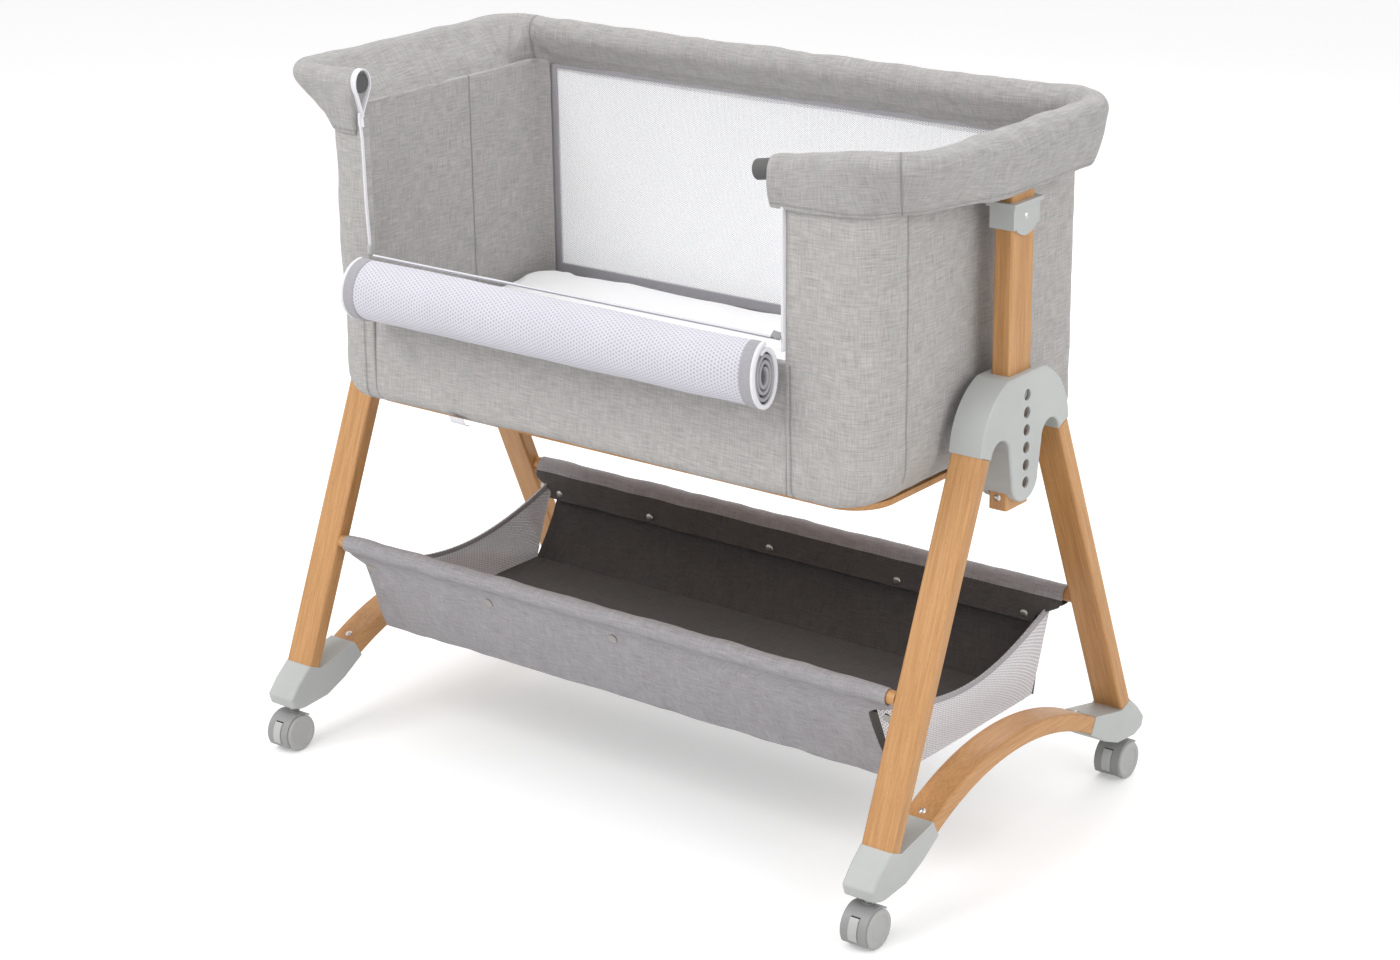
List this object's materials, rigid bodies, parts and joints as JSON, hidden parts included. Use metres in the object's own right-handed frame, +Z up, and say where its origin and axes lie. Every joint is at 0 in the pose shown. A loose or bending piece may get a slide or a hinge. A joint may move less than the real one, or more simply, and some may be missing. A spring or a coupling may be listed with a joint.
{
  "type": "bedside sleeper crib",
  "caption": "Bedside sleeper crib: fabric bassinet with a lowered mesh front on two sliding posts, wooden A-frame stand with storage basket and lockable castors.",
  "frame": {"origin": "on the floor under the middle of the stand", "axes": "+X along the crib's length, -Y towards the open bedside face, +Z up"},
  "size_m": [0.921, 0.5867, 0.8545],
  "materials": {
    "beech": "satin lacquer",
    "board": "satin",
    "hub_plastic": "fine matt",
    "button_plastic": "fine matt",
    "hood_plastic": "matt",
    "wheel_plastic": "satin",
    "steel": "nickel plated",
    "tube_steel": "powder coated",
    "tub_fabric": "woven melange",
    "basket_fabric": "woven melange",
    "binding_tape": "woven tape",
    "mesh": "open mesh",
    "mattress_cover": "soft woven"
  },
  "bodies": {
    "stand": {"hub_left": "hub_plastic", "hub_right": "hub_plastic", "arch_strut_left": "beech", "arch_strut_right": "beech", "leg_front_left": "beech", "leg_rear_left": "beech", "leg_front_right": "beech", "leg_rear_right": "beech", "foot_front_left": "hub_plastic", "foot_rear_left": "hub_plastic", "foot_front_right": "hub_plastic", "foot_rear_right": "hub_plastic", "castor_stems": "steel", "stand_screws": "steel", "basket_rod_front": "beech", "basket_rod_rear": "beech", "basket_panel_front": "basket_fabric", "basket_panel_rear": "basket_fabric", "basket_floor": "basket_fabric", "basket_mesh_ends": "mesh", "basket_bindings": "binding_tape", "basket_snaps": "steel"},
    "bassinet": {"post_left": "beech", "post_right": "beech", "rail_bracket_left": "hub_plastic", "rail_bracket_right": "hub_plastic", "button_spring_left": "steel", "button_spring_right": "steel", "bassinet_screws": "steel", "rail_tube": "tube_steel", "rail_end_plugs": "hub_plastic", "padded_rail": "tub_fabric", "tub_floor": "tub_fabric", "tub_back_wall": "tub_fabric", "tub_end_wall_left": "tub_fabric", "tub_end_wall_right": "tub_fabric", "tub_front_wall": "tub_fabric", "window_mesh": "mesh", "window_binding": "binding_tape", "base_board": "board", "mattress": "mattress_cover", "rolled_panel": "mesh", "rolled_panel_bindings": "binding_tape"},
    "button_left": {"height_button_left": "button_plastic"},
    "button_right": {"height_button_right": "button_plastic"},
    "castor_fork_front_left": {"castor_hood_front_left": "hood_plastic"},
    "castor_wheels_body_front_left": {"castor_wheels_front_left": "wheel_plastic"},
    "castor_brake_front_left": {"castor_lever_front_left": "hood_plastic"},
    "castor_fork_rear_left": {"castor_hood_rear_left": "hood_plastic"},
    "castor_wheels_body_rear_left": {"castor_wheels_rear_left": "wheel_plastic"},
    "castor_brake_rear_left": {"castor_lever_rear_left": "hood_plastic"},
    "castor_fork_front_right": {"castor_hood_front_right": "hood_plastic"},
    "castor_wheels_body_front_right": {"castor_wheels_front_right": "wheel_plastic"},
    "castor_brake_front_right": {"castor_lever_front_right": "hood_plastic"},
    "castor_fork_rear_right": {"castor_hood_rear_right": "hood_plastic"},
    "castor_wheels_body_rear_right": {"castor_wheels_rear_right": "wheel_plastic"},
    "castor_brake_rear_right": {"castor_lever_rear_right": "hood_plastic"}
  },
  "joints": [
    {"name": "height_slide", "type": "slide", "parent": "stand", "child": "bassinet", "axis": [0, 0, 1], "range_m": [-0.1, 0]},
    {"name": "button_press_left", "type": "slide", "parent": "bassinet", "child": "button_left", "axis": [1, 0, 0], "range_m": [0, 0.0064], "stiffness_N_per_m": 700, "springref_m": -0.003, "deforming": ["button_spring_left"]},
    {"name": "button_press_right", "type": "slide", "parent": "bassinet", "child": "button_right", "axis": [-1, 0, 0], "range_m": [0, 0.0064], "stiffness_N_per_m": 700, "springref_m": -0.003, "deforming": ["button_spring_right"]},
    {"name": "castor_swivel_front_left", "type": "hinge", "parent": "stand", "child": "castor_fork_front_left", "pos_m": [-0.434, -0.2665, 0.04], "axis": [0, 0, 1], "continuous": true},
    {"name": "castor_roll_front_left", "type": "hinge", "parent": "castor_fork_front_left", "child": "castor_wheels_body_front_left", "pos_m": [-0.434, -0.2715, 0.023], "axis": [1, 0, 0], "continuous": true},
    {"name": "castor_brake_front_left", "type": "hinge", "parent": "castor_fork_front_left", "child": "castor_brake_front_left", "pos_m": [-0.434, -0.28897, 0.0357], "axis": [-1, 0, 0], "range_deg": [0, 12]},
    {"name": "castor_swivel_rear_left", "type": "hinge", "parent": "stand", "child": "castor_fork_rear_left", "pos_m": [-0.434, 0.2665, 0.04], "axis": [0, 0, 1], "continuous": true},
    {"name": "castor_roll_rear_left", "type": "hinge", "parent": "castor_fork_rear_left", "child": "castor_wheels_body_rear_left", "pos_m": [-0.434, 0.2615, 0.023], "axis": [1, 0, 0], "continuous": true},
    {"name": "castor_brake_rear_left", "type": "hinge", "parent": "castor_fork_rear_left", "child": "castor_brake_rear_left", "pos_m": [-0.434, 0.24402, 0.0357], "axis": [-1, 0, 0], "range_deg": [0, 12]},
    {"name": "castor_swivel_front_right", "type": "hinge", "parent": "stand", "child": "castor_fork_front_right", "pos_m": [0.434, -0.2665, 0.04], "axis": [0, 0, 1], "continuous": true},
    {"name": "castor_roll_front_right", "type": "hinge", "parent": "castor_fork_front_right", "child": "castor_wheels_body_front_right", "pos_m": [0.434, -0.2715, 0.023], "axis": [1, 0, 0], "continuous": true},
    {"name": "castor_brake_front_right", "type": "hinge", "parent": "castor_fork_front_right", "child": "castor_brake_front_right", "pos_m": [0.434, -0.28897, 0.0357], "axis": [-1, 0, 0], "range_deg": [0, 12]},
    {"name": "castor_swivel_rear_right", "type": "hinge", "parent": "stand", "child": "castor_fork_rear_right", "pos_m": [0.434, 0.2665, 0.04], "axis": [0, 0, 1], "continuous": true},
    {"name": "castor_roll_rear_right", "type": "hinge", "parent": "castor_fork_rear_right", "child": "castor_wheels_body_rear_right", "pos_m": [0.434, 0.2615, 0.023], "axis": [1, 0, 0], "continuous": true},
    {"name": "castor_brake_rear_right", "type": "hinge", "parent": "castor_fork_rear_right", "child": "castor_brake_rear_right", "pos_m": [0.434, 0.24402, 0.0357], "axis": [-1, 0, 0], "range_deg": [0, 12]}
  ]
}
